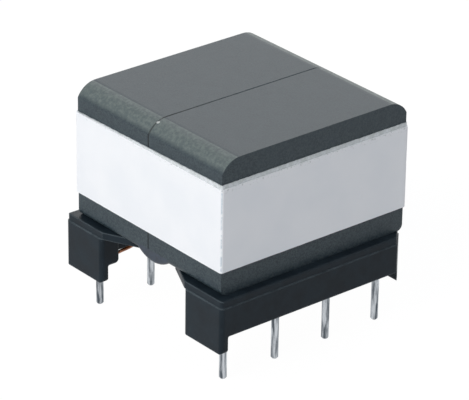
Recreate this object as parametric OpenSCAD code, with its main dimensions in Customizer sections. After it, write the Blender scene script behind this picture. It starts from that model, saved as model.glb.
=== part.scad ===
// Through-hole ferrite transformer: two square-backed pot-style core halves on a
// horizontal moulded bobbin, taped together, with two rows of four round pins.
// X runs along the winding axis, Y along the pin rows, Z up. The origin is at the
// middle of the pin grid, level with the pin tips. Lengths are in millimetres.

/* [Core] */
// Width of the core, along the pin rows
core_width = 18; // [17.4:0.1:19]
// Length of the two halves together, along the winding axis
core_length = 17.4; // [16.8:0.1:18.6]
// Height of the core
core_height = 11; // [10.6:0.1:12]
// Diameter of the winding window
window_diameter = 12; // [11.6:0.1:12.6]
// Diameter of the centre post
post_diameter = 5.7; // [5.2:0.1:5.9]
// Height of the post's axis above the core's open underside
post_height = 3.3; // [3.1:0.05:3.5]
// Thickness of the closed end wall of each half
end_wall = 3; // [2.6:0.1:3.2]
// Radius of the two long edges on top
top_edge_radius = 1.9; // [1.4:0.1:2.4]
// How far the rounded top edge comes down the side
top_edge_drop = 1.05; // [0.6:0.05:1.2]
// Radius of the two long edges underneath
lower_edge_radius = 0.5; // [0.2:0.05:0.8]
// Broken edge where the halves meet
seam_chamfer = 0.06; // [0.02:0.01:0.12]
// How far the core sits to one side in the bobbin's bore
core_shift = 0.2; // [0:0.05:0.25]

/* [Bobbin] */
// Clearance left between the post and the nearer side of the bore
bore_clearance = 0.05; // [0.03:0.01:0.12]
// Wall of the bobbin's tube
tube_wall = 0.5; // [0.4:0.05:0.6]
// Thickness of each flange
flange_thickness = 0.55; // [0.45:0.05:0.7]
// Clearance between a flange and the end wall
end_clearance = 0.1; // [0.05:0.05:0.2]
// Clearance between a flange's rim and the window
rim_clearance = 0.1; // [0.05:0.05:0.2]
// Half the width of the neck that joins a flange to its rail
neck_half_width = 4.7; // [4.4:0.1:5]

/* [Terminal rails] */
// How far a rail reaches past the end of the core
rail_overhang = 0.85; // [0.6:0.05:1.2]
// Distance from the outermost pins to the end of a rail
pin_end_margin = 1.78; // [1.7:0.02:2.2]
// Height of a rail's bar
rail_height = 3; // [2.8:0.1:3.4]
// Height of the feet below the bar
foot_height = 1.4; // [1:0.1:1.8]
// Thickness of each foot
foot_thickness = 0.65; // [0.55:0.05:0.9]
// Radius of the rails' upright corners
rail_corner_radius = 0.35; // [0.2:0.05:0.5]
// Radius of the lower corners of the feet and blocks
foot_corner_radius = 0.3; // [0.2:0.05:0.4]
// Height of the lip along the top of a rail, and thickness of its deck
lip_height = 0.6; // [0.5:0.05:0.8]
// How far the lip is set back
lip_inset = 0.08; // [0.04:0.02:0.16]
// Radius of the lip's top edge
lip_edge_radius = 0.16; // [0.1:0.02:0.2]
// Corner taken off at pin 1
key_chamfer = 1.4; // [1:0.1:1.8]
// Length of the solid block at each end of a rail
end_block = 1.66; // [1.5:0.02:1.9]
// Depth of the wire recesses in from the rail's inner face
recess_depth = 1.65; // [1.4:0.05:1.8]
// Width of the slots to the inner pins
slot_width = 1.6; // [1.2:0.1:2]
// Height of those slots
slot_height = 1.1; // [0.9:0.1:1.3]
// How far the wings under the core's side walls reach in from a rail
wing_reach = 2.85; // [2:0.05:3.2]
// How far a wing's outer edge turns in over that reach
wing_taper = 1.4; // [1.2:0.05:1.7]

/* [Pins] */
// Distance between pins in a row
pin_pitch = 5.08; // [4.8:0.01:5.2]
// Distance between the rows
row_pitch = 15.24; // [15:0.01:15.5]
// Diameter of a pin
pin_diameter = 0.6; // [0.5:0.02:0.7]
// How much thicker a pin is at its held end, growing from the seating plane up
root_growth = 0.06; // [0.02:0.02:0.12]
// Length of the pins below the feet
pin_length = 3.3; // [2.8:0.1:4.5]
// Length of a pin held in the plastic
pin_grip = 2.4; // [2:0.1:2.6]
// Length of the rounded-off tip
tip_length = 0.12; // [0.08:0.02:0.2]
// Thickness of the solder where it meets the rail
solder_thickness = 0.08; // [0.06:0.02:0.16]
// Length of the solder along a pin
solder_length = 0.75; // [0.6:0.05:1]

/* [Windings] */
// Diameter of the primary's wire
primary_wire = 0.4; // [0.3:0.05:0.45]
// Diameter of the secondary's wire
secondary_wire = 0.5; // [0.35:0.05:0.55]
// Height of the primary above the tube
primary_height = 0.75; // [0.6:0.05:0.8]
// Height of the secondary above the tape between the windings
secondary_height = 0.75; // [0.6:0.05:0.8]
// Thickness of the tape between the windings
interlayer_thickness = 0.1; // [0.05:0.05:0.15]
// Thickness of the tape round the finished winding
wrap_thickness = 0.15; // [0.1:0.05:0.2]
// Clearance between a winding and the flanges
winding_clearance = 0.05; // [0.03:0.01:0.1]
// Diameter of the wires that run to the pins
lead_wire = 0.28; // [0.2:0.02:0.32]

/* [Tape and adhesive] */
// Height of the core tape's lower edge above the core's underside
tape_bottom = 2; // [1.6:0.1:2.6]
// Height of the outer tape layer
tape_height = 6.8; // [6:0.1:7.2]
// How much the inner layer rises from the left end to the right
tape_rise = 0.32; // [0.1:0.02:0.4]
// Thickness of one layer of core tape
tape_thickness = 0.08; // [0.05:0.01:0.12]
// Radius of the tape where it goes round the core's corners
tape_corner_radius = 0.15; // [0.1:0.01:0.25]
// Half the width of the adhesive bead under the seam
bead_half_width = 1.65; // [1.2:0.05:2]
// Depth of the bead
bead_depth = 0.5; // [0.3:0.05:0.7]
// Length of the bead, in from the core's side
bead_length = 2.2; // [1.8:0.1:2.6]
// How far the bead lies to the right of the seam
bead_offset = 0.5; // [0.2:0.05:0.8]

/* [Hidden] */
$fn = 48;
eps = 0.01;
far = 40;

ferrite = "#4a5359";
moulding = "#262c32";
tin = "#b9bec2";
enamel = "#9a5a2c";
film = "#eef0f2";
amber_film = "#e6d6a4";
adhesive = "#3a434c";

// Levels, from the pin tips up
seat_z = pin_length;
bar_z = seat_z + foot_height;
core_z = bar_z + rail_height;
axis_z = core_z + post_height;
deck_z = core_z - lip_height;

// Core
half_length = core_length / 2;
window_radius = window_diameter / 2;
window_end = half_length - end_wall;
post_radius = post_diameter / 2;
core_side = core_width / 2;
top_edge_width = sqrt(pow(top_edge_radius, 2) - pow(top_edge_radius - top_edge_drop, 2));

// Bobbin
bore_radius = post_radius + core_shift + bore_clearance;
tube_radius = bore_radius + tube_wall;
flange_out = window_end - end_clearance;
flange_in = flange_out - flange_thickness;
flange_radius = window_radius - core_shift - rim_clearance;
rail_out = half_length + rail_overhang;
rail_end = 1.5 * pin_pitch + pin_end_margin;
recess_back = flange_in + recess_depth;
recess_end = rail_end - end_block;
wing_in = flange_in - wing_reach;
wing_back = window_radius;

// Pins
pin_radius = pin_diameter / 2;
pin_top = bar_z + pin_grip;
pin_x = row_pitch / 2;
function root_radius(z) = pin_radius + root_growth / 2 * (z - seat_z) / (pin_top - seat_z);
function pin_side(i) = i <= 4 ? 1 : -1;
function pin_y(i) = pin_pitch * (i <= 4 ? 2.5 - i : i - 6.5);

// Windings
winding_end = flange_in - winding_clearance;
primary_radius = tube_radius + primary_height;
interlayer_radius = primary_radius + interlayer_thickness;
secondary_radius = interlayer_radius + secondary_height;
wrap_radius = secondary_radius + wrap_thickness;
lead_radius = lead_wire / 2;
outer_exit_angle = 47;
inner_exit_angle = 25.5;
wire_drift = 0.4;
wire_lift = 0.7;

// Cuts the square corner at the origin down to a quarter round of radius r
module corner_cut(r) {
    difference() {
        translate([-eps, -eps]) square(r + eps);
        translate([r, r]) circle(r);
    }
}

// Rectangle with round corners, between two opposite corners
module round_rect(x0, y0, x1, y1, r) {
    translate([x0 + r, y0]) square([x1 - x0 - 2 * r, y1 - y0]);
    translate([x0, y0 + r]) square([x1 - x0, y1 - y0 - 2 * r]);
    for (x = [x0 + r, x1 - r], y = [y0 + r, y1 - r]) translate([x, y]) circle(r);
}

// Extrudes an outline drawn in Y and Z along X
module along_x(x0, x1) {
    translate([x0, 0, 0]) rotate([90, 0, 90]) linear_extrude(x1 - x0) children();
}

// Extrudes an outline drawn in X and Z along Y
module along_y(y0, y1) {
    translate([0, y1, 0]) rotate([90, 0, 0]) linear_extrude(y1 - y0) children();
}

// Cylinder along the winding axis
module axial(r, x0, x1, y = 0) {
    translate([x0, y, axis_z]) rotate([0, 90, 0]) cylinder(r = r, h = x1 - x0);
}

// ---- Core ----

// Section of the core across the winding axis, without its window
module core_outline() {
    translate([core_shift, core_z]) difference() {
        translate([-core_side, 0]) square([core_width, core_height]);
        for (m = [0, 1]) mirror([m, 0]) {
            translate([-core_side, 0]) corner_cut(lower_edge_radius);
            difference() {
                translate([core_side - top_edge_width, core_height - top_edge_drop])
                    square([top_edge_width + eps, top_edge_drop + eps]);
                translate([core_side - top_edge_width, core_height - top_edge_radius])
                    circle(top_edge_radius, $fn = 96);
            }
        }
    }
}

// Section of the winding window: a round arch, open underneath
module window_outline() {
    translate([core_shift, axis_z]) {
        circle(window_radius, $fn = 96);
        translate([-window_radius, -post_height - eps]) square([window_diameter, post_height + eps]);
    }
}

// Breaks the seam's edges along the top and both sides
module seam_edges() {
    top_z = core_z + core_height;
    for (y = [-core_side, core_side])
        translate([0, core_shift + y, core_z]) rotate([0, 0, 45])
            cube([seam_chamfer * sqrt(2), seam_chamfer * sqrt(2), 2 * core_height], center = true);
    translate([0, core_shift, top_z]) rotate([0, 45, 0])
        cube([seam_chamfer * sqrt(2), core_width, seam_chamfer * sqrt(2)], center = true);
}

module core_half() {
    color(ferrite) {
        difference() {
            along_x(0, half_length) core_outline();
            along_x(-eps, window_end) window_outline();
            seam_edges();
        }
        axial(post_radius, 0, window_end + eps, core_shift);
    }
}

// ---- Bobbin ----

// Plan of one rail, set in by some amount, with the pin 1 corner taken off if keyed
module rail_plan(inset, keyed) {
    difference() {
        round_rect(flange_in, -rail_end + inset, rail_out - inset, rail_end - inset,
            rail_corner_radius - inset);
        if (keyed) translate([rail_out, rail_end]) rotate(45)
            square([key_chamfer * sqrt(2) + 2 * inset, far], center = true);
    }
}

// Side view of a rail: the bar with a foot at each end
module rail_side_outline() {
    difference() {
        translate([-rail_end, seat_z]) square([2 * rail_end, core_z - seat_z]);
        difference() {
            translate([-rail_end + foot_thickness, seat_z - eps])
                square([2 * (rail_end - foot_thickness), foot_height + eps]);
            for (m = [0, 1]) mirror([m, 0]) translate([rail_end - foot_thickness, bar_z]) rotate(180)
                corner_cut(foot_corner_radius / 2);
        }
        for (m = [0, 1]) mirror([m, 0]) {
            translate([rail_end - foot_thickness, seat_z]) corner_cut(foot_corner_radius);
            translate([rail_end, core_z]) rotate(180) corner_cut(lip_edge_radius);
        }
    }
}

// End view of a rail
module rail_end_outline() {
    difference() {
        translate([flange_in, seat_z]) square([rail_out - flange_in, core_z - seat_z]);
        translate([flange_in, seat_z]) corner_cut(foot_corner_radius);
        translate([rail_out, seat_z]) rotate(90) corner_cut(foot_corner_radius);
        translate([rail_out - lip_inset, core_z]) rotate(180) corner_cut(lip_edge_radius);
        translate([rail_out - lip_inset, deck_z]) square([lip_inset + eps, lip_height + eps]);
    }
}

// Recess for a wire, seen from the winding, with rounded lower edges
module recess_outline(y0, y1, top) {
    translate([y0, seat_z - eps]) square([y1 - y0, top - seat_z + eps]);
    for (y = [y0, y1], s = (y == y0 ? -1 : 1)) translate([y, bar_z]) scale([s, 1])
        difference() {
            translate([-eps, -eps]) square(foot_corner_radius);
            translate([foot_corner_radius, foot_corner_radius]) circle(foot_corner_radius);
        }
}

module wire_recesses() {
    for (m = [0, 1]) mirror([0, m, 0]) {
        along_x(flange_in - eps, recess_back)
            recess_outline(neck_half_width, recess_end, deck_z);
        along_x(flange_in - eps, recess_back)
            recess_outline(pin_pitch / 2 - slot_width / 2, pin_pitch / 2 + slot_width / 2,
                bar_z + slot_height);
    }
}

// Shelf under the core's side wall, narrowing towards the middle
module wing() {
    translate([0, 0, deck_z]) linear_extrude(lip_height) polygon([
        [flange_in + rail_corner_radius, -rail_end + lip_inset],
        [flange_in, -rail_end + lip_inset],
        [wing_in, -rail_end + lip_inset + wing_taper],
        [wing_in, -wing_back],
        [flange_in + rail_corner_radius, -wing_back]
    ]);
}

module rail(keyed) {
    difference() {
        intersection() {
            union() {
                translate([0, 0, seat_z]) linear_extrude(deck_z - seat_z) rail_plan(0, keyed);
                translate([0, 0, deck_z - eps]) linear_extrude(lip_height + eps)
                    rail_plan(lip_inset, keyed);
            }
            along_x(flange_in - eps, rail_out + eps) rail_side_outline();
            along_y(-rail_end - eps, rail_end + eps) rail_end_outline();
        }
        wire_recesses();
    }
    for (m = [0, 1]) mirror([0, m, 0]) wing();
}

// Tapered root of pin i, between two heights
module pin_root(i, z0, z1) {
    translate([pin_side(i) * pin_x, pin_y(i), z0])
        cylinder(r1 = root_radius(z0), r2 = root_radius(z1), h = z1 - z0);
}

module bobbin() {
    color(moulding) difference() {
        union() {
            axial(tube_radius, -flange_out, flange_out);
            for (s = [0, 1]) mirror([s, 0, 0]) {
                axial(flange_radius, flange_in, flange_out, $fn = 96);
                translate([flange_in, -neck_half_width, deck_z])
                    cube([flange_thickness, 2 * neck_half_width, axis_z - deck_z - post_radius]);
                rail(s == 0);
            }
        }
        axial(bore_radius, -far, far);
        for (i = [1:8]) pin_root(i, bar_z - eps, pin_top);
    }
}

// ---- Pins ----

module pin(i) {
    color(tin) {
        translate([pin_side(i) * pin_x, pin_y(i), 0]) {
            cylinder(r1 = pin_radius - tip_length * 0.75, r2 = pin_radius, h = tip_length);
            translate([0, 0, tip_length]) cylinder(r = pin_radius, h = seat_z - tip_length);
        }
        pin_root(i, seat_z, pin_top);
    }
}

module solder(i) {
    low_z = bar_z - solder_length;
    color(tin) difference() {
        translate([pin_side(i) * pin_x, pin_y(i), low_z])
            cylinder(r1 = root_radius(low_z) + solder_thickness / 5,
                r2 = root_radius(bar_z) + solder_thickness, h = solder_length);
        pin_root(i, seat_z, pin_top);
        translate([pin_side(i) * pin_x, pin_y(i), lead_end_z]) rotate([0, -90 * pin_side(i), 0])
            cylinder(r = lead_radius, h = pin_diameter);
    }
}

// ---- Windings ----

// One layer of turns on a drum: the outside follows the wires
module turns(r_in, r_out, wire) {
    count = floor(2 * winding_end / wire);
    pitch = 2 * winding_end / count;
    steps = 4;
    crest = [for (k = [0:count * steps])
        [r_out - wire * 0.25 * (1 - sin(180 * (k % steps) / steps)), -winding_end + k * pitch / steps]];
    translate([0, 0, axis_z]) rotate([0, 90, 0]) rotate_extrude()
        polygon(concat([[r_in, -winding_end]], crest, [[r_in, winding_end]]));
}

module primary_winding() {
    color(enamel) turns(tube_radius, primary_radius, primary_wire);
}

module secondary_winding() {
    color(enamel) turns(interlayer_radius, secondary_radius, secondary_wire);
}

module film_sleeve(r_in, r_out) {
    color(amber_film) difference() {
        axial(r_out, -winding_end, winding_end);
        axial(r_in, -far, far);
    }
}

// Middle line of a wire: straight ends, and one smooth bend round each point between
function wire_line(p) =
    let (last = len(p) - 1, steps = 5)
    concat([p[0]],
        [for (k = [1:last - 1], j = [0:steps - (k < last - 1 ? 1 : 0)])
            let (t = j / steps, a = (p[k - 1] + p[k]) / 2, b = (p[k] + p[k + 1]) / 2)
            a * pow(1 - t, 2) + p[k] * 2 * t * (1 - t) + b * pow(t, 2)],
        [p[last]]);

function unit(v) = v / norm(v);

// Round wire along a line of points; side is never parallel to it
module wire(line, side) {
    n = 8;
    last = len(line) - 1;
    rings = [for (k = [0:last])
        let (along = unit(line[min(k + 1, last)] - line[max(k - 1, 0)]),
            u = unit(cross(side, along)), v = cross(along, u))
        for (i = [0:n - 1]) line[k] + lead_radius * (cos(360 * i / n) * u + sin(360 * i / n) * v)];
    walls = [for (k = [0:last - 1], i = [0:n - 1])
        [k * n + i, (k + 1) * n + i, (k + 1) * n + (i + 1) % n, k * n + (i + 1) % n]];
    polyhedron(rings, concat(walls, [[for (i = [0:n - 1]) i]], [[for (i = [n - 1:-1:0]) last * n + i]]));
}

lead_end_z = bar_z - 1.5 * lead_radius;
lead_end_x = pin_x - root_radius(lead_end_z) - eps;

// Route of the wire from the winding to pin i. Those of the outer pins pass the neck
// and cross the recess; those of the inner pins go straight through their slots.
function lead_route(i) =
    let (s = pin_side(i), y = pin_y(i), t = sign(y), outer = abs(y) > pin_pitch,
        angle = outer ? outer_exit_angle : inner_exit_angle,
        out = wrap_radius + 3 * lead_radius,
        exit_x = s * (winding_end - 2.5 * lead_radius),
        approach = outer ? [
            [s * (flange_in + wire_drift), t * (neck_half_width + 3 * wire_drift),
                bar_z + wire_lift],
            [s * (flange_in + 1.25 * wire_drift), t * (recess_end - wire_drift),
                bar_z + wire_lift - lead_radius],
            [s * (recess_back - 2 * lead_radius), t * (recess_end - 2 * lead_radius), lead_end_z]
        ] : [
            [s * (flange_in + lead_radius), y, bar_z + slot_height / 2],
            [s * (recess_back - lead_wire), y, lead_end_z]
        ])
    concat(
        [[exit_x, t * wrap_radius * sin(angle), axis_z - wrap_radius * cos(angle)]],
        [[exit_x, t * out * sin(angle), axis_z - out * cos(angle)]],
        approach,
        [[s * (lead_end_x - wire_drift), y, lead_end_z]],
        [[s * lead_end_x, y, lead_end_z]]);

module lead(i) {
    color(enamel) wire(wire_line(lead_route(i)), [pin_side(i), 0, 1]);
}

// ---- Tape and adhesive ----

// Plan of the tape's outer surface over a number of layers
module tape_plan(layers) {
    grow = layers * tape_thickness;
    if (layers == 0)
        translate([-half_length, -core_side]) square([core_length, core_width]);
    else
        round_rect(-half_length - grow, -core_side - grow, half_length + grow, core_side + grow,
            tape_corner_radius + (layers - 1) * tape_thickness);
}

module tape_layer(layers, height) {
    color(film) translate([0, core_shift, core_z + tape_bottom]) linear_extrude(height) difference() {
        tape_plan(layers);
        tape_plan(layers - 1);
    }
}

// The inner layer stands above the outer one towards the right
module core_tape_inner() {
    difference() {
        tape_layer(1, tape_height + tape_rise);
        translate([0, 0, core_z + tape_bottom + tape_height + tape_rise / 2])
            rotate([0, -atan(tape_rise / core_length), 0]) translate([-far, -far, 0]) cube(2 * far);
    }
}

module adhesive_bead() {
    radius = (pow(bead_half_width, 2) + pow(bead_depth, 2)) / (2 * bead_depth);
    edge = bead_depth / 2;
    color(adhesive) difference() {
        intersection() {
            translate([bead_offset, core_shift - core_side, core_z + radius - bead_depth])
                rotate([-90, 0, 0]) rotate_extrude($fn = 96) {
                    square([radius - edge, bead_length]);
                    translate([0, edge]) square([radius, bead_length - 2 * edge]);
                    for (y = [edge, bead_length - edge]) translate([radius - edge, y]) circle(edge, $fn = 24);
                }
            translate([-far, -far, 0]) cube([2 * far, 2 * far, core_z + lower_edge_radius]);
        }
        along_x(-half_length, half_length) core_outline();
        for (m = [0, 1]) mirror([m, 0, 0]) wing();
    }
}

mirror([1, 0, 0]) core_half();  // core_half_left
core_half();  // core_half_right
bobbin();
for (i = [1:8]) pin(i);
primary_winding();
film_sleeve(primary_radius, interlayer_radius);  // interlayer_tape
secondary_winding();
film_sleeve(secondary_radius, wrap_radius);  // winding_wrap_tape
core_tape_inner();
tape_layer(2, tape_height);  // core_tape_outer
adhesive_bead();
for (i = [1:8]) lead(i);
for (i = [1:8]) solder(i);
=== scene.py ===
"""Looks for the through-hole ferrite transformer: camera, soft studio light, materials for
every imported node, and finer meshes for the core tape, the leads and the solder.
Lengths are in millimetres, as in the CAD source, and turn into metres at the last step."""
import math

import bpy
from mathutils import Matrix, Vector, noise


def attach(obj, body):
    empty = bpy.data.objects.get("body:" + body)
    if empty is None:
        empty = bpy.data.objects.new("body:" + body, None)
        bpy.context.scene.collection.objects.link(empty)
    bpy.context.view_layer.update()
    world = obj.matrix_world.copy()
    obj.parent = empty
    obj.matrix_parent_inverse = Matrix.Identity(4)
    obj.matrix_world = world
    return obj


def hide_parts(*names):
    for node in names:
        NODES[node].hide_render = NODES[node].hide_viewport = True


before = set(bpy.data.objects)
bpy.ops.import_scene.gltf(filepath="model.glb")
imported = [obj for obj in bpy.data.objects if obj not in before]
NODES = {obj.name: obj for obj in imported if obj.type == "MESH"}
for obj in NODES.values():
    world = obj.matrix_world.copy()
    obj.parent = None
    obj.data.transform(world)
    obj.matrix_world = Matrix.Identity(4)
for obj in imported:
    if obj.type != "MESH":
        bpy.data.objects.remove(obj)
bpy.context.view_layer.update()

MM = 0.001

# ---- Sizes that the finer meshes share with the CAD source, in millimetres ----
PINS = {n: 1 if n <= 4 else -1 for n in range(1, 9)}
PIN_PITCH = 5.08
ROW_PITCH = 15.24
PIN_RADIUS = 0.3
ROOT_GROWTH = 0.03
PIN_GRIP = 2.4
SEAT_Z = 3.3
BAR_Z = 4.7
CORE_Z = 7.7
AXIS_Z = 11.0
CORE_HALF_LENGTH = 8.7
CORE_HALF_WIDTH = 9.0
CORE_SHIFT = 0.2
CORE_TOP = 18.7
TAPE_BOTTOM_Z = 9.7
TAPE_TOP_Z = 16.5
TAPE_RISE = 0.32
FILM = 0.08
LEAD_RADIUS = 0.14
FLANGE_IN = 5.05
WINDING_END = 5.0
WRAP_RADIUS = 5.35
TURN_PITCH = 0.5
RECESS_BACK = 6.7
RECESS_END = 7.74
NECK_HALF_WIDTH = 4.7
SLOT_HEIGHT = 1.1
LEAD_END_Z = BAR_Z - 1.5 * LEAD_RADIUS
OUTER_EXIT_ANGLE = 47
INNER_EXIT_ANGLE = 25.5
WIRE_DRIFT = 0.4
WIRE_LIFT = 0.7


def pin_xy(n):
    """Axis of pin n in plan."""
    row = 2.5 - n if n <= 4 else n - 6.5
    return Vector((PINS[n] * ROW_PITCH / 2, PIN_PITCH * row))


def root_radius(z):
    """Radius of a pin's tapered root at height z."""
    return PIN_RADIUS + ROOT_GROWTH * (z - SEAT_Z) / (BAR_Z + PIN_GRIP - SEAT_Z)


# ---- Node helpers ----


def srgb(r, g, b):
    """Linear colour from 0-255 display values."""
    shares = (c / 255 for c in (r, g, b))
    return tuple(c / 12.92 if c < 0.04 else ((c + 0.055) / 1.055) ** 2.4 for c in shares) + (1.0,)


class Nodes:
    """A material being built: short calls that add a node and return its output."""

    def __init__(self, name):
        self.material = bpy.data.materials.new(name)
        self.material.use_nodes = True
        self.tree = self.material.node_tree
        self.tree.nodes.clear()
        self.out = self.tree.nodes.new("ShaderNodeOutputMaterial")
        self.place = self.tree.nodes.new("ShaderNodeTexCoord").outputs["Object"]

    def node(self, kind, inputs=None, **settings):
        made = self.tree.nodes.new("ShaderNode" + kind)
        for key, value in settings.items():
            setattr(made, key, value)
        for key, value in (inputs or {}).items():
            if isinstance(value, bpy.types.NodeSocket):
                self.tree.links.new(value, made.inputs[key])
            else:
                made.inputs[key].default_value = value
        return made

    def math(self, operation, a, b=0.0):
        return self.node("Math", {0: a, 1: b}, operation=operation).outputs[0]

    def stretched(self, x=1.0, y=1.0, z=1.0):
        """The place, stretched along an axis where its factor is below 1."""
        return self.node("Mapping", {"Vector": self.place, "Scale": (x, y, z)}).outputs[0]

    def grain(self, size_mm, detail=3.0, roughness=0.5, place=None):
        """Noise with features of about that size."""
        return self.node(
            "TexNoise",
            {"Vector": place or self.place, "Scale": 1 / (size_mm * MM), "Detail": detail,
             "Roughness": roughness},
        ).outputs["Fac"]

    def cells(self, size_mm, place=None):
        """Distance to the middle of the nearest of many scattered cells."""
        return self.node(
            "TexVoronoi", {"Vector": place or self.place, "Scale": 1 / (size_mm * MM)}
        ).outputs["Distance"]

    def step(self, value, low, high, to_low=0.0, to_high=1.0):
        """Smooth step of value from low to high."""
        return self.node(
            "MapRange",
            {"Value": value, "From Min": low, "From Max": high, "To Min": to_low, "To Max": to_high},
            interpolation_type="SMOOTHSTEP",
        ).outputs["Result"]

    def mix(self, factor, a, b):
        """Colour mix."""
        made = self.node("Mix", {"Factor": factor}, data_type="RGBA")
        for index, value in ((6, a), (7, b)):
            if isinstance(value, bpy.types.NodeSocket):
                self.tree.links.new(value, made.inputs[index])
            else:
                made.inputs[index].default_value = value
        return made.outputs[2]

    def axes(self):
        """X, Y and Z of the place, in metres."""
        return self.node("SeparateXYZ", {"Vector": self.place}).outputs

    def bump(self, height, depth_mm, strength=1.0, normal=None):
        inputs = {"Height": height, "Distance": depth_mm * MM, "Strength": strength}
        if normal:
            inputs["Normal"] = normal
        return self.node("Bump", inputs).outputs[0]

    def soft_edges(self, radius_mm):
        """Normal with every edge rounded by that radius."""
        return self.node("Bevel", {"Radius": radius_mm * MM}, samples=6).outputs[0]

    def edge_mask(self, rounded):
        """1 where the rounded normal leaves the true one, so along edges."""
        true = self.node("NewGeometry").outputs["True Normal"]
        same = self.node("VectorMath", {0: rounded, 1: true}, operation="DOT_PRODUCT").outputs["Value"]
        return self.step(self.math("SUBTRACT", 1.0, same), 0.002, 0.08)

    def surface(self, **sockets):
        shader = self.node("BsdfPrincipled", {k.replace("_", " "): v for k, v in sockets.items()})
        self.tree.links.new(shader.outputs[0], self.out.inputs["Surface"])
        return self.material


# ---- Materials ----


def ferrite():
    """Sintered ferrite: grey with fine grain. The pressed long edges on top are greener and coarser
    than the ground faces, and are painted much lighter as if they caught more light; the seam is dark,
    with one pale chip."""
    m = Nodes("ferrite_ceramic")
    x, y, z = m.axes()
    side = m.math("ABSOLUTE", m.math("SUBTRACT", y, CORE_SHIFT * MM))
    # Mask of the long bevels on top, where their greener tint and their painted light go.
    bevel_painted_lighter = m.math(
        "MULTIPLY",
        m.math(
            "MULTIPLY",
            m.step(side, (CORE_HALF_WIDTH - 1.5) * MM, (CORE_HALF_WIDTH - 1.42) * MM),
            m.step(z, (CORE_TOP - 1.05) * MM, (CORE_TOP - 0.55) * MM),
        ),
        m.step(
            m.math("ABSOLUTE", x),
            (CORE_HALF_LENGTH - 0.01) * MM, (CORE_HALF_LENGTH - 0.04) * MM,
        ),
    )
    blotch = m.grain(1.1, 4.0, 0.6)
    fine = m.grain(0.12, 2.0, 0.7)
    coarse = m.grain(0.3, 3.0, 0.7)
    grey = m.mix(m.step(blotch, 0.3, 0.7), srgb(20, 37, 47), srgb(34, 49, 58))
    grey = m.mix(m.step(fine, 0.4, 0.62), grey, srgb(58, 70, 74))
    # Partly the bevel's own greener tint, partly painted light: the bevel is painted far lighter than
    # the other faces, as if it caught more light.
    bevel_green_and_painted_light = m.mix(m.step(coarse, 0.35, 0.7), srgb(84, 95, 95), srgb(108, 118, 115))
    colour = m.mix(bevel_painted_lighter, grey, bevel_green_and_painted_light)
    light = m.step(m.cells(0.5), 0.16, 0.06)
    colour = m.mix(m.math("MULTIPLY", light, 0.2), colour, srgb(78, 90, 94))
    pits = m.step(m.cells(0.42), 0.1, 0.05)
    colour = m.mix(m.math("MULTIPLY", pits, 0.35), colour, srgb(20, 28, 32))
    specks = m.math("MULTIPLY", m.step(m.cells(0.9), 0.07, 0.03), m.step(coarse, 0.5, 0.6))
    colour = m.mix(m.math("MULTIPLY", specks, 0.45), colour, srgb(116, 124, 128))
    seam = m.math(
        "MULTIPLY",
        m.step(m.math("ABSOLUTE", x), 0.1 * MM, 0.04 * MM),
        m.step(y, 1.0 * MM, -7.0 * MM),
    )
    colour = m.mix(m.math("MULTIPLY", seam, 0.8), colour, srgb(14, 18, 20))
    chip = (0.1 * MM, -7.9 * MM, (CORE_TOP - 0.25) * MM)
    away = m.node("VectorMath", {0: m.place, 1: chip}, operation="DISTANCE").outputs["Value"]
    ragged = m.math("ADD", away, m.math("MULTIPLY", m.grain(0.15), 0.2 * MM))
    colour = m.mix(m.step(ragged, 0.28 * MM, 0.2 * MM, 0.0, 0.8), colour, srgb(222, 224, 220))
    rounded = m.soft_edges(0.06)
    worn = m.math("MULTIPLY", m.edge_mask(rounded), m.step(m.grain(0.25, 2.0), 0.5, 0.62))
    colour = m.mix(m.math("MULTIPLY", worn, 0.35), colour, srgb(96, 106, 106))
    normal = m.bump(fine, 0.01, 0.7, m.bump(coarse, 0.015, 0.5, rounded))
    rough = m.step(fine, 0.2, 0.8, 0.42, 0.6)
    return m.surface(Base_Color=colour, Roughness=rough, Normal=normal, Specular_IOR_Level=0.4)


def moulding():
    """Black glass-filled plastic from a spark-eroded mould, with a painted highlight along its edges.
    """
    m = Nodes("black_moulding")
    fine = m.grain(0.07, 2.0, 0.6)
    cloud = m.grain(1.6, 3.0, 0.55)
    colour = m.mix(m.step(cloud, 0.3, 0.7), srgb(21, 30, 37), srgb(31, 41, 48))
    rounded = m.soft_edges(0.16)
    edge = m.edge_mask(rounded)
    # Painted highlight: a pale line along every rounded edge, broken up by noise, stands in for light
    # catching the edges.
    painted_edge_highlight = m.math("MULTIPLY", edge, m.step(m.grain(1.2, 3.0), 0.2, 0.75, 0.35, 1.0))
    colour = m.mix(m.math("MULTIPLY", painted_edge_highlight, 0.8), colour, srgb(92, 102, 107))
    fibres = m.step(m.cells(0.35, m.stretched(1, 1, 0.6)), 0.07, 0.03)
    colour = m.mix(m.math("MULTIPLY", fibres, 0.15), colour, srgb(80, 90, 96))
    normal = m.bump(fine, 0.01, 0.6, m.bump(cloud, 0.03, 0.4, rounded))
    rough = m.step(cloud, 0.25, 0.75, 0.36, 0.5)
    return m.surface(Base_Color=colour, Roughness=rough, Normal=normal, Specular_IOR_Level=0.13)


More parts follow.
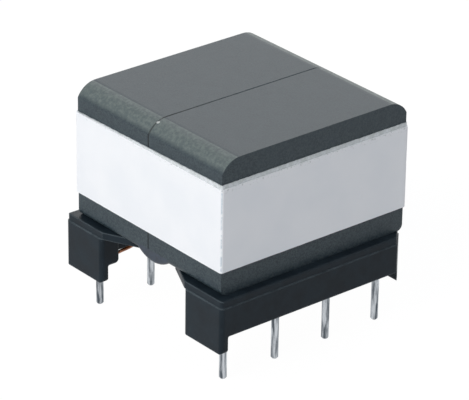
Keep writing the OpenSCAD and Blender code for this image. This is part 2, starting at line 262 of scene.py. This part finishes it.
def outer_film():
    """White polyester tape: smooth, with faint waves, glue specks at its top edge and a thin
    bluish crease down each corner."""
    m = Nodes("white_film")
    x, y, z = m.axes()
    wave = m.grain(4.0, 2.0, 0.5)
    colour = m.mix(m.step(wave, 0.3, 0.7), srgb(243, 245, 247), srgb(248, 249, 250))
    near_top = m.step(z, (TAPE_TOP_Z - 0.5) * MM, TAPE_TOP_Z * MM)
    dirt = m.math("MULTIPLY", m.step(m.grain(0.16, 3.0, 0.7), 0.56, 0.68), near_top)
    colour = m.mix(m.math("MULTIPLY", dirt, 0.6), colour, srgb(150, 156, 152))
    corner = m.math(
        "MULTIPLY",
        m.step(m.math("ABSOLUTE", x), (CORE_HALF_LENGTH + 0.03) * MM, (CORE_HALF_LENGTH + 0.07) * MM),
        m.step(
            m.math("ABSOLUTE", m.math("SUBTRACT", y, CORE_SHIFT * MM)),
            (CORE_HALF_WIDTH + 0.03) * MM, (CORE_HALF_WIDTH + 0.07) * MM,
        ),
    )
    broken = m.step(m.grain(0.5, 3.0, 0.7), 0.4, 0.58)
    crease = m.math("MULTIPLY", corner, broken)
    colour = m.mix(m.math("MULTIPLY", crease, 0.55), colour, srgb(150, 172, 188))
    specks = m.math("MULTIPLY", m.step(m.cells(2.6), 0.03, 0.015), m.step(wave, 0.5, 0.55))
    colour = m.mix(m.math("MULTIPLY", specks, 0.6), colour, srgb(186, 192, 198))
    normal = m.bump(wave, 0.05, 0.35, m.bump(m.grain(0.1, 2.0), 0.002, 0.3))
    return m.surface(Base_Color=colour, Roughness=0.3, Normal=normal)


def inner_film():
    """One layer of the same film, through which the ferrite shows grey."""
    m = Nodes("single_film")
    blotch = m.grain(0.35, 3.0, 0.6)
    colour = m.mix(m.step(blotch, 0.35, 0.7), srgb(204, 209, 208), srgb(228, 232, 234))
    glue = m.step(m.grain(0.2, 2.0, 0.7, m.stretched(0.5, 0.5, 1)), 0.6, 0.7)
    colour = m.mix(m.math("MULTIPLY", glue, 0.35), colour, srgb(120, 128, 122))
    return m.surface(Base_Color=colour, Roughness=0.32, Normal=m.bump(blotch, 0.01, 0.4))


def tinned():
    """Tinned pin: drawn along its length, with small pits, and painted light and dark reflection
    streaks along it.
    """
    m = Nodes("tinned_pin")
    draw_marks_and_painted_reflection = m.grain(0.2, 3.0, 0.6, m.stretched(1, 1, 0.1))
    patch = m.grain(0.5, 3.0, 0.6)
    # Painted reflection: the light and dark streaks along the pin stand in for reflected studio light;
    # the same noise also bumps the draw marks.
    colour = m.mix(m.step(draw_marks_and_painted_reflection, 0.36, 0.66), srgb(80, 87, 94), srgb(194, 199, 204))
    pits = m.math(
        "MULTIPLY",
        m.step(m.cells(0.28, m.stretched(1, 1, 0.7)), 0.16, 0.08),
        m.step(patch, 0.5, 0.62),
    )
    colour = m.mix(m.math("MULTIPLY", pits, 0.65), colour, srgb(84, 90, 95))
    rough = m.step(patch, 0.3, 0.7, 0.16, 0.3)
    normal = m.bump(draw_marks_and_painted_reflection, 0.006, 0.5, m.bump(patch, 0.02, 0.3))
    return m.surface(Base_Color=colour, Roughness=rough, Metallic=1.0, Normal=normal)


def solder():
    """Bright solder with soft dull patches."""
    m = Nodes("solder")
    patch = m.grain(0.22, 3.0, 0.6)
    colour = m.mix(m.step(patch, 0.3, 0.7), srgb(150, 157, 163), srgb(192, 197, 201))
    return m.surface(
        Base_Color=colour, Roughness=m.step(patch, 0.3, 0.7, 0.2, 0.38), Metallic=1.0,
        Normal=m.bump(patch, 0.02, 0.5),
    )


def enamel(name, dark, light):
    """Enamelled copper wire."""
    m = Nodes(name)
    patch = m.grain(0.5, 3.0, 0.6)
    colour = m.mix(m.step(patch, 0.3, 0.7), dark, light)
    return m.surface(
        Base_Color=colour, Roughness=0.34, Metallic=0.35, Coat_Weight=0.8, Coat_Roughness=0.15,
        Normal=m.bump(m.grain(0.12), 0.004, 0.4),
    )


def winding_film():
    """Amber film over the coil: the turns beneath print through it."""
    m = Nodes("amber_film")
    bands_per_scale = 20 / (2 * math.pi)
    turns = m.node(
        "TexWave",
        {"Vector": m.place, "Scale": 1 / (TURN_PITCH * MM * bands_per_scale), "Distortion": 0.6,
         "Detail": 1.0},
        wave_type="BANDS", bands_direction="X",
    ).outputs["Fac"]
    crease = m.grain(0.9, 3.0, 0.6)
    colour = m.mix(m.step(turns, 0.2, 0.9), srgb(150, 108, 48), srgb(196, 152, 82))
    colour = m.mix(m.step(crease, 0.55, 0.75, 0.0, 0.5), colour, srgb(222, 190, 128))
    return m.surface(
        Base_Color=colour, Roughness=0.25, Coat_Weight=0.6, Coat_Roughness=0.12,
        Normal=m.bump(turns, 0.03, 0.5, m.bump(crease, 0.04, 0.5)),
    )


def adhesive():
    """Dark, slightly glossy adhesive."""
    m = Nodes("adhesive")
    blotch = m.grain(0.6, 3.0, 0.6)
    colour = m.mix(m.step(blotch, 0.3, 0.7), srgb(16, 32, 48), srgb(28, 46, 64))
    return m.surface(Base_Color=colour, Roughness=0.35, Normal=m.bump(blotch, 0.03, 0.4))


# ---- Mesh helpers ----


def piece(name, rings, closed_ring, material, node):
    """A skin over rings of points in millimetres, which replaces the node. closed_ring joins
    the last ring to the first; otherwise the two ends are capped."""
    count = len(rings[0])
    points = [Vector(p) * MM for ring in rings for p in ring]
    faces = []
    spans = len(rings) if closed_ring else len(rings) - 1
    for r in range(spans):
        a, b = r * count, (r + 1) % len(rings) * count
        for i in range(count):
            j = (i + 1) % count
            faces.append((a + i, a + j, b + j, b + i))
    if not closed_ring:
        for end, flip in ((0, True), (len(rings) - 1, False)):
            middle = sum((points[end * count + i] for i in range(count)), Vector()) / count
            points.append(middle)
            hub = len(points) - 1
            for i in range(count):
                j = (i + 1) % count
                rim = (end * count + i, end * count + j)
                faces.append((hub, rim[1], rim[0]) if flip else (hub, rim[0], rim[1]))
    mesh = bpy.data.meshes.new(name)
    mesh.from_pydata([tuple(p) for p in points], [], faces)
    mesh.validate()
    made = bpy.data.objects.new(name, mesh)
    bpy.context.scene.collection.objects.link(made)
    mesh.materials.append(material)
    for polygon in mesh.polygons:
        polygon.use_smooth = True
    mesh.set_sharp_from_angle(angle=math.radians(50))
    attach(made, "root")
    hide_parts(node)


def wobble(*place, size=1.0):
    """Smooth repeatable noise from -1 to 1."""
    return noise.noise(Vector(place) / size)


# ---- Tape ----


def band_plan(offset, corner, spacing):
    """Points and outward directions round the core, at an offset from its faces, with round
    corners, no further apart than spacing."""
    half_x, half_y = CORE_HALF_LENGTH + offset, CORE_HALF_WIDTH + offset
    straight_x, straight_y = half_x - corner, half_y - corner
    plan = []
    corners = [(1, -1, -90), (1, 1, 0), (-1, 1, 90), (-1, -1, 180)]
    for index, (sx, sy, start) in enumerate(corners):
        for k in range(9):
            angle = math.radians(start + 90 * k / 8)
            way = Vector((math.cos(angle), math.sin(angle)))
            plan.append((Vector((sx * straight_x, sy * straight_y)) + way * corner, way))
        nx, ny, turn = corners[(index + 1) % 4]
        way = Vector((math.cos(math.radians(start + 90)), math.sin(math.radians(start + 90))))
        a = plan[-1][0]
        b = Vector((nx * straight_x, ny * straight_y)) + way * corner
        steps = math.ceil((b - a).length / spacing)
        plan += [(a.lerp(b, k / steps), way) for k in range(1, steps)]
    return plan


def tape_band(name, inner, corner, low_z, high_z, ragged, material, node):
    """A band of film one layer thick, with slightly ragged edges and soft waves in its face."""
    rings = []
    rows = 24
    for place, way in band_plan(inner, corner, 0.12):
        low = low_z + 0.5 * ragged * wobble(place.x, place.y, 3.0, size=0.5)
        high = high_z(place.x) + ragged * (
            wobble(place.x, place.y, 7.0, size=0.35) + 0.6 * wobble(place.x, place.y, 9.0, size=0.12)
        )
        ring = []
        for k in range(rows + 1):
            z = low + (high - low) * k / rows
            swell = 0.012 * wobble(place.x, place.y, z, size=3.0)
            at = place + way * (FILM + swell * math.sin(math.pi * k / rows))
            ring.append((at.x, at.y + CORE_SHIFT, z))
        for k in (rows, 0):
            z = low + (high - low) * k / rows
            ring.append((place.x, place.y + CORE_SHIFT, z))
        rings.append(ring)
    piece(name, rings, True, material, node)


# ---- Wires and solder ----


def smooth_line(points, steps=10):
    """Straight ends, and one smooth bend round each point between, as in the CAD source."""
    line = [points[0]]
    for k in range(1, len(points) - 1):
        a, b = (points[k - 1] + points[k]) / 2, (points[k] + points[k + 1]) / 2
        last = k == len(points) - 2
        for j in range(steps + (1 if last else 0)):
            t = j / steps
            line.append(a * (1 - t) ** 2 + points[k] * 2 * t * (1 - t) + b * t * t)
    return line + [points[-1]]


def tube_rings(line, radius, side, count=16):
    """Rings of points round a line; side is never parallel to it."""
    turns = [2 * math.pi * i / count for i in range(count)]
    rings = []
    for k, place in enumerate(line):
        along = (line[min(k + 1, len(line) - 1)] - line[max(k - 1, 0)]).normalized()
        u = side.cross(along).normalized()
        v = along.cross(u)
        rings.append([place + radius * (math.cos(a) * u + math.sin(a) * v) for a in turns])
    return rings


def lead_route(n):
    """Route of wire n from the coil to its pin, as in the CAD source."""
    s, y = PINS[n], pin_xy(n).y
    t, outer = math.copysign(1, y), abs(y) > PIN_PITCH
    angle = math.radians(OUTER_EXIT_ANGLE if outer else INNER_EXIT_ANGLE)
    out = WRAP_RADIUS + 3 * LEAD_RADIUS
    exit_x = s * (WINDING_END - 2.5 * LEAD_RADIUS)
    end_x = ROW_PITCH / 2 - root_radius(LEAD_END_Z) - 0.01
    if outer:
        approach = [
            (s * (FLANGE_IN + WIRE_DRIFT), t * (NECK_HALF_WIDTH + 3 * WIRE_DRIFT),
             BAR_Z + WIRE_LIFT),
            (s * (FLANGE_IN + 1.25 * WIRE_DRIFT), t * (RECESS_END - WIRE_DRIFT),
             BAR_Z + WIRE_LIFT - LEAD_RADIUS),
            (s * (RECESS_BACK - 2 * LEAD_RADIUS), t * (RECESS_END - 2 * LEAD_RADIUS), LEAD_END_Z),
        ]
    else:
        approach = [
            (s * (FLANGE_IN + LEAD_RADIUS), y, BAR_Z + SLOT_HEIGHT / 2),
            (s * (RECESS_BACK - 2 * LEAD_RADIUS), y, LEAD_END_Z),
        ]
    route = [
        (exit_x, t * WRAP_RADIUS * math.sin(angle), AXIS_Z - WRAP_RADIUS * math.cos(angle)),
        (exit_x, t * out * math.sin(angle), AXIS_Z - out * math.cos(angle)),
        *approach,
        (s * (end_x - WIRE_DRIFT), y, LEAD_END_Z),
        (s * end_x, y, LEAD_END_Z),
    ]
    return [Vector(p) for p in route]


def wire(n, material):
    line = smooth_line(lead_route(n))
    rings = tube_rings(line, LEAD_RADIUS, Vector((PINS[n], 0, 1)))
    piece(f"wire_{n}", rings, False, material, f"lead_{n}")


def solder_fillet(n, material):
    """Solder drawn down the pin from the rail, over the turns of wire wound round the pin."""
    centre = pin_xy(n)
    rows, count = 26, 40
    length, wire_turns, ridge_height, thickest = 0.8, 2.6, 0.018, 0.11
    rings = []
    for k in range(rows + 1):
        down = k / rows
        z = BAR_Z - length * down
        ridge = ridge_height * math.cos(2 * math.pi * down * wire_turns) * (1 - down)
        cover = thickest * (1 - down) ** 1.5 + ridge
        thinnest = 0.012 * (1 - down) + 0.002
        ring = []
        for i in range(count):
            angle = 2 * math.pi * i / count
            across, ahead = math.cos(angle), math.sin(angle)
            lump = 0.024 * (1 - 0.8 * down) * wobble(2 * across + 5 * n, 2 * ahead, 3 * z)
            radius = root_radius(z) + max(thinnest, cover + lump)
            ring.append((centre.x + radius * across, centre.y + radius * ahead, z))
        rings.append(ring)
    piece(f"solder_fillet_{n}", rings, False, material, f"solder_{n}")


# ---- Stage, light and camera ----


def seen_directly(tree):
    """1 for camera, mirror and glass rays, which see the white background."""
    path = tree.nodes.new("ShaderNodeLightPath")
    total = None
    for name in ("Is Camera Ray", "Is Glossy Ray", "Is Transmission Ray"):
        if total is None:
            total = path.outputs[name]
            continue
        add = tree.nodes.new("ShaderNodeMath")
        add.operation, add.use_clamp = "ADD", True
        tree.links.new(total, add.inputs[0])
        tree.links.new(path.outputs[name], add.inputs[1])
        total = add.outputs[0]
    return total


def white_floor():
    """Pale floor under the pin tips. Seen directly it glows nearly white but keeps the shadow."""
    glow = 0.95
    mesh = bpy.data.meshes.new("floor")
    half = 1.5
    corners = [(-half, -half, 0), (half, -half, 0), (half, half, 0), (-half, half, 0)]
    mesh.from_pydata(corners, [], [(0, 1, 2, 3)])
    floor = bpy.data.objects.new("floor", mesh)
    bpy.context.scene.collection.objects.link(floor)
    floor.location.z = -0.00002
    material = bpy.data.materials.new("floor")
    material.use_nodes = True
    tree = material.node_tree
    tree.nodes.clear()
    diffuse = tree.nodes.new("ShaderNodeBsdfDiffuse")
    diffuse.inputs["Color"].default_value = (0.93, 0.93, 0.93, 1)
    emission = tree.nodes.new("ShaderNodeEmission")
    emission.inputs["Strength"].default_value = 1.03
    share = tree.nodes.new("ShaderNodeMath")
    share.operation = "MULTIPLY"
    share.inputs[1].default_value = glow
    tree.links.new(seen_directly(tree), share.inputs[0])
    mix = tree.nodes.new("ShaderNodeMixShader")
    tree.links.new(share.outputs[0], mix.inputs[0])
    tree.links.new(diffuse.outputs[0], mix.inputs[1])
    tree.links.new(emission.outputs[0], mix.inputs[2])
    out = tree.nodes.new("ShaderNodeOutputMaterial")
    tree.links.new(mix.outputs[0], out.inputs["Surface"])
    mesh.materials.append(material)


def white_world(ambient):
    """White where it is seen directly, and a cool sky of that strength for the light it gives."""
    world = bpy.data.worlds.new("world")
    bpy.context.scene.world = world
    world.use_nodes = True
    tree = world.node_tree
    tree.nodes.clear()
    low = tree.nodes.new("ShaderNodeBackground")
    low.inputs["Color"].default_value = srgb(232, 240, 255)
    low.inputs["Strength"].default_value = ambient
    white = tree.nodes.new("ShaderNodeBackground")
    white.inputs["Color"].default_value = (1, 1, 1, 1)
    mix = tree.nodes.new("ShaderNodeMixShader")
    tree.links.new(seen_directly(tree), mix.inputs[0])
    tree.links.new(low.outputs[0], mix.inputs[1])
    tree.links.new(white.outputs[0], mix.inputs[2])
    out = tree.nodes.new("ShaderNodeOutputWorld")
    tree.links.new(mix.outputs[0], out.inputs["Surface"])


def softbox(name, direction, distance, size, level):
    """Square lamp aimed at the part, whose light alone would show a white facing it at level."""
    data = bpy.data.lights.new(name, "AREA")
    data.size = size
    data.energy = level * math.pi ** 2 * distance ** 2
    lamp = bpy.data.objects.new(name, data)
    bpy.context.scene.collection.objects.link(lamp)
    way = Vector(direction).normalized()
    lamp.location = Vector((0, 0, 0.01)) + way * distance
    lamp.rotation_mode = "QUATERNION"
    lamp.rotation_quaternion = way.to_track_quat("Z", "Y")
    lamp.visible_camera = False


def photo_camera():
    """Camera at the photograph's viewing angle."""
    azimuth, elevation, roll = math.radians(50.178), math.radians(26.142), math.radians(0.834)
    distance, slide_x, slide_y = 245.54, -0.412, 1.688
    focal_share = 6.775102
    target = Vector((0, 0.2, CORE_Z))
    back = Vector((
        math.sin(azimuth) * math.cos(elevation),
        -math.cos(azimuth) * math.cos(elevation),
        math.sin(elevation),
    ))
    right = Vector((math.cos(azimuth), math.sin(azimuth), 0))
    up = back.cross(right)
    turned_right = right * math.cos(roll) + up * math.sin(roll)
    turned_up = up * math.cos(roll) - right * math.sin(roll)
    place = back * distance + turned_right * slide_x + turned_up * slide_y + target
    data = bpy.data.cameras.new("camera")
    data.sensor_width = 36
    data.lens = focal_share * data.sensor_width
    data.clip_start, data.clip_end = 0.01, 10
    camera = bpy.data.objects.new("camera", data)
    bpy.context.scene.collection.objects.link(camera)
    turn = Matrix((turned_right, turned_up, back)).transposed().to_4x4()
    camera.matrix_world = Matrix.Translation(place * MM) @ turn
    bpy.context.scene.camera = camera


def paint(node, material):
    """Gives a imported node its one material."""
    mesh = NODES[node].data
    mesh.materials.clear()
    mesh.materials.append(material)


# ---- The scene ----

photo_camera()
white_floor()
white_world(ambient=0.24)
softbox("key", (0.15, -0.9, 0.6), 0.6, 0.4, 0.73)
softbox("back", (-0.69, 0.575, 0.5), 0.6, 0.5, 0.3)

bpy.context.scene.view_settings.view_transform = "Standard"

core_material, plastic, tin = ferrite(), moulding(), tinned()
for name in ("core_half_left", "core_half_right"):
    paint(name, core_material)
paint("bobbin", plastic)
for n in PINS:
    paint(f"pin_{n}", tin)
film, single, amber = outer_film(), inner_film(), winding_film()
paint("interlayer_tape", amber)
paint("winding_wrap_tape", amber)
coil = enamel("coil_wire", srgb(120, 62, 30), srgb(168, 92, 46))
paint("primary_winding", coil)
paint("secondary_winding", coil)

tape_band(
    "tape_single_layer", inner=0.0, corner=0.07, low_z=TAPE_BOTTOM_Z + 0.03,
    high_z=lambda x: TAPE_TOP_Z + TAPE_RISE * (x / (2 * CORE_HALF_LENGTH) + 0.5),
    ragged=0.03, material=single, node="core_tape_inner",
)
tape_band(
    "tape_outer_layer", inner=FILM, corner=0.15, low_z=TAPE_BOTTOM_Z,
    high_z=lambda x: TAPE_TOP_Z, ragged=0.02, material=film, node="core_tape_outer",
)

wire_material = enamel("lead_wire", srgb(150, 84, 44), srgb(196, 120, 70))
solder_material = solder()
for n in PINS:
    wire(n, wire_material)
    solder_fillet(n, solder_material)
paint("adhesive_bead", adhesive())
